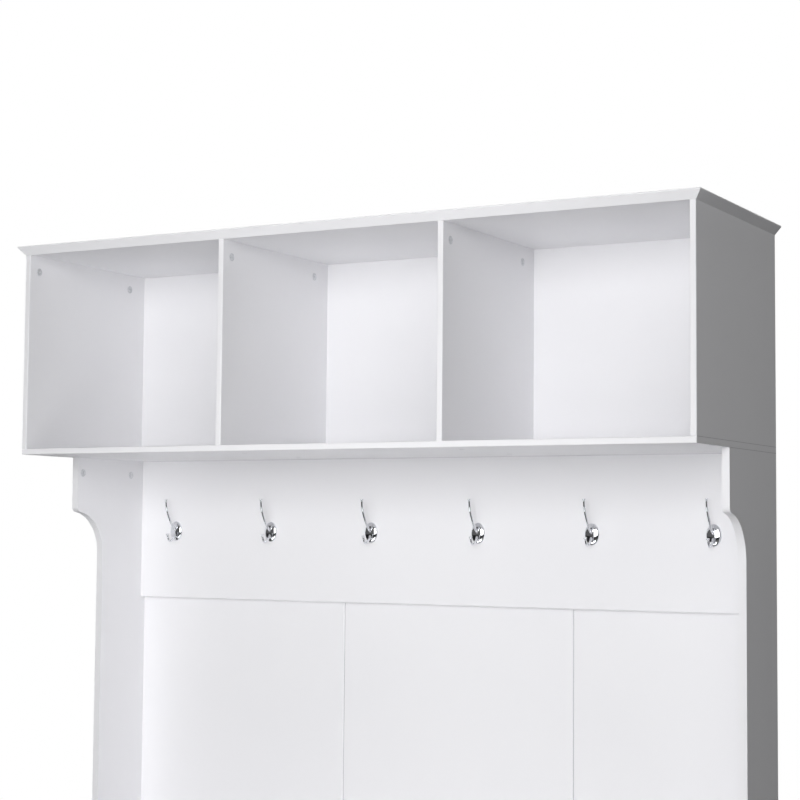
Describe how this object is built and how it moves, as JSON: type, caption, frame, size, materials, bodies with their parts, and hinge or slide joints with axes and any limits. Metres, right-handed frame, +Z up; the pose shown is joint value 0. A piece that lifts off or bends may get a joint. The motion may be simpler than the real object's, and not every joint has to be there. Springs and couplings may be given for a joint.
{
  "type": "hall tree",
  "caption": "Free-standing hall tree with open cubbies under a bevelled crown, a rail of double coat hooks, panelled back, and a bench with flip-down shoe drawers.",
  "frame": {"origin": "middle of the overall box at floor level", "axes": "+Z up, +X to the viewer's right when facing the front, -Y out of the front; the wall plane is on the +Y side"},
  "size_m": [1.526, 0.453, 1.8],
  "materials": {
    "white_board": "white satin melamine on chipboard",
    "hardboard": "hardboard, painted white inside and bare brown behind",
    "chrome": "polished",
    "zinc_steel": "zinc plated",
    "beech": "bare fluted beech",
    "white_plastic": "moulded, fine texture",
    "grey_plastic": "moulded, fine texture"
  },
  "bodies": {
    "frame": {"back_panel_left": "white_board", "back_panel_middle": "white_board", "back_panel_right": "white_board", "bench_back": "hardboard", "bench_divider": "white_board", "bench_floor_left": "white_board", "bench_floor_right": "white_board", "bench_side_left": "white_board", "bench_side_right": "white_board", "bracket_screws": "zinc_steel", "cabinet_back": "white_board", "cabinet_deck": "white_board", "cabinet_divider_left": "white_board", "cabinet_divider_right": "white_board", "cabinet_side_left": "white_board", "cabinet_side_right": "white_board", "cam_bolts": "zinc_steel", "cam_locks": "zinc_steel", "crown_top": "white_board", "deck_screws": "zinc_steel", "floor_glides": "grey_plastic", "hook_1": "chrome", "hook_2": "chrome", "hook_3": "chrome", "hook_4": "chrome", "hook_5": "chrome", "hook_6": "chrome", "hook_rail": "white_board", "hook_screws": "zinc_steel", "panel_screws": "zinc_steel", "pivot_bushes": "white_plastic", "plinth_left": "white_board", "plinth_right": "white_board", "rail_dowels": "beech", "seat_board": "white_board", "stop_studs": "white_plastic", "upright_left": "white_board", "upright_right": "white_board", "wall_brackets": "zinc_steel"},
    "flip_left": {"flip_front_left": "white_board", "knob_left": "chrome", "pivot_pins_left": "zinc_steel", "rack_back_left": "white_board", "rack_divider_left": "white_board", "rack_floor_left": "white_board", "turning_plate_left_inner": "white_plastic", "turning_plate_left_outer": "white_plastic"},
    "flip_right": {"flip_front_right": "white_board", "knob_right": "chrome", "pivot_pins_right": "zinc_steel", "rack_back_right": "white_board", "rack_divider_right": "white_board", "rack_floor_right": "white_board", "turning_plate_right_inner": "white_plastic", "turning_plate_right_outer": "white_plastic"}
  },
  "joints": [
    {"name": "flip_left_hinge", "type": "hinge", "parent": "frame", "child": "flip_left", "pos_m": [-0.3705, -0.1695, 0.13018], "axis": [1, 0, 0], "range_deg": [0, 45]},
    {"name": "flip_right_hinge", "type": "hinge", "parent": "frame", "child": "flip_right", "pos_m": [0.3705, -0.1695, 0.13018], "axis": [1, 0, 0], "range_deg": [0, 45]}
  ]
}
